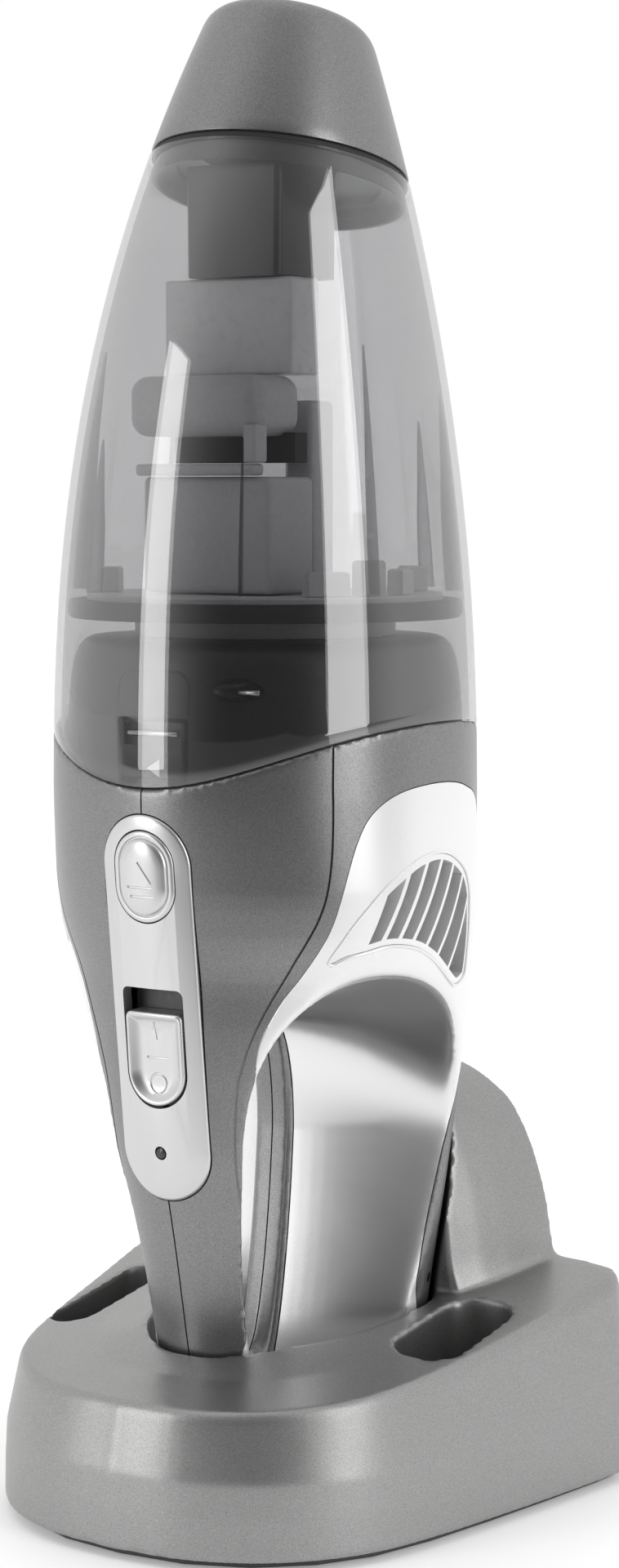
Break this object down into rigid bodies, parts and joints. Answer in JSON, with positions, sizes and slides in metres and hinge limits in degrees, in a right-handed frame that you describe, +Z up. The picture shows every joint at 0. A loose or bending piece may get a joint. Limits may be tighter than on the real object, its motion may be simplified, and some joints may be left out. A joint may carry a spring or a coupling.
{
  "type": "handheld vacuum",
  "caption": "Cordless handheld vacuum with a bullet-shaped clear dust cup and a slotted handle, standing nose-up in a charging base with tool slots.",
  "frame": {"origin": "centre of the charging base's footprint on the floor", "axes": "+Z up, the control plate faces -Y, +X is the vacuum's left side as it is seen from the front's right"},
  "size_m": [0.1668, 0.148, 0.4201],
  "materials": {
    "silver_metallic": "metallic silver lacquer on plastic, satin",
    "base_silver": "warm metallic silver lacquer on plastic, satin",
    "white_satin": "pearl white, satin",
    "plate_satin": "pearl silver-white, satin",
    "smoked_clear": "smoked transparent plastic, polished",
    "clear_grey": "cloudy translucent plastic",
    "grey_plastic": "light grey, fine texture",
    "dark_plastic": "black, fine texture",
    "dark_metallic": "dark grey metallic, satin",
    "black_rubber": "matt",
    "steel": "bright",
    "brass": "bright",
    "filter_paper": "matt pleated paper",
    "circuit_board": "green solder resist",
    "cell_wrap": "shrink wrap",
    "led_lens_clear": "tinted clear, polished"
  },
  "bodies": {
    "base": {"base_shell": "base_silver", "base_plate": "dark_plastic", "rubber_foot_1": "black_rubber", "rubber_foot_2": "black_rubber", "rubber_foot_3": "black_rubber", "rubber_foot_4": "black_rubber", "contact_carrier": "dark_plastic", "charging_inlet": "dark_plastic", "contact_spring_left": "steel", "contact_spring_right": "steel"},
    "pin_left": {"contact_pin_left": "brass"},
    "pin_right": {"contact_pin_right": "brass"},
    "vacuum": {"body_left": "silver_metallic", "body_right": "silver_metallic", "side_panel_left": "white_satin", "side_panel_right": "white_satin", "vent_grille_left": "white_satin", "vent_grille_right": "white_satin", "control_plate": "plate_satin", "led_lens": "led_lens_clear", "button_spring": "steel", "switch_module": "dark_plastic", "control_board": "circuit_board", "button_seat": "dark_plastic", "battery_cell_1": "cell_wrap", "battery_cell_2": "cell_wrap", "battery_cell_3": "cell_wrap", "battery_holder": "dark_plastic", "charge_contact_left": "brass", "charge_contact_right": "brass", "side_screw_left": "steel", "side_screw_right": "steel", "motor_can": "steel", "motor_mount": "dark_plastic", "fan_shroud": "dark_plastic", "motor_bulkhead": "dark_metallic", "latch_spring": "steel"},
    "cup": {"nozzle": "silver_metallic", "nozzle_gasket": "black_rubber", "inlet_duct": "dark_plastic", "flap_pin": "steel", "dust_cup": "smoked_clear"},
    "flap": {"inlet_flap": "black_rubber"},
    "filter": {"separator_base": "grey_plastic", "air_column": "grey_plastic", "hood_lip": "grey_plastic", "separator_hood": "grey_plastic", "deflector_box": "clear_grey", "rear_column": "grey_plastic", "cup_seal": "black_rubber", "filter_frame": "grey_plastic", "pleated_filter": "filter_paper"},
    "release": {"release_button": "plate_satin"},
    "latch": {"cup_latch": "dark_plastic", "latch_pin": "steel"},
    "switch": {"power_switch": "plate_satin"},
    "rotor": {"motor_shaft": "steel", "fan_impeller": "grey_plastic"}
  },
  "joints": [
    {"name": "vacuum_lift", "type": "slide", "parent": "base", "child": "vacuum", "axis": [0, 0, 1], "range_m": [0, 0.15]},
    {"name": "cup_pull", "type": "slide", "parent": "vacuum", "child": "cup", "axis": [0, 0, 1], "range_m": [0, 0.12]},
    {"name": "filter_pull", "type": "slide", "parent": "vacuum", "child": "filter", "axis": [0, 0, 1], "range_m": [0, 0.05]},
    {"name": "flap_swing", "type": "hinge", "parent": "cup", "child": "flap", "pos_m": [0, 0.0104, 0.371], "axis": [1, 0, 0], "range_deg": [0, 60], "stiffness_Nm_per_rad": 0.002, "springref_deg": -17.19},
    {"name": "release_press", "type": "slide", "parent": "vacuum", "child": "release", "axis": [0, 1, 0], "range_m": [0, 0.0025], "stiffness_N_per_m": 400, "springref_m": -0.0005, "deforming": ["button_spring"]},
    {"name": "latch_draw", "type": "slide", "parent": "vacuum", "child": "latch", "axis": [0, 1, 0], "range_m": [0, 0.0025], "deforming": ["latch_spring"]},
    {"name": "switch_slide", "type": "slide", "parent": "vacuum", "child": "switch", "axis": [0, -0.0958, 0.9954], "range_m": [0, 0.003]},
    {"name": "fan_spin", "type": "hinge", "parent": "vacuum", "child": "rotor", "pos_m": [0, 0.0012, 0.19], "axis": [0, 0, 1], "continuous": true},
    {"name": "pin_left_press", "type": "slide", "parent": "base", "child": "pin_left", "axis": [0, 0, 1], "range_m": [-0.001, 0], "stiffness_N_per_m": 200, "springref_m": 0.001, "deforming": ["contact_spring_left"]},
    {"name": "pin_right_press", "type": "slide", "parent": "base", "child": "pin_right", "axis": [0, 0, 1], "range_m": [-0.001, 0], "stiffness_N_per_m": 200, "springref_m": 0.001, "deforming": ["contact_spring_right"]}
  ],
  "couplings": [
    {"joint": "filter_pull", "follows": "cup_pull", "ratio": 0.4},
    {"joint": "latch_draw", "follows": "release_press", "ratio": 1}
  ]
}
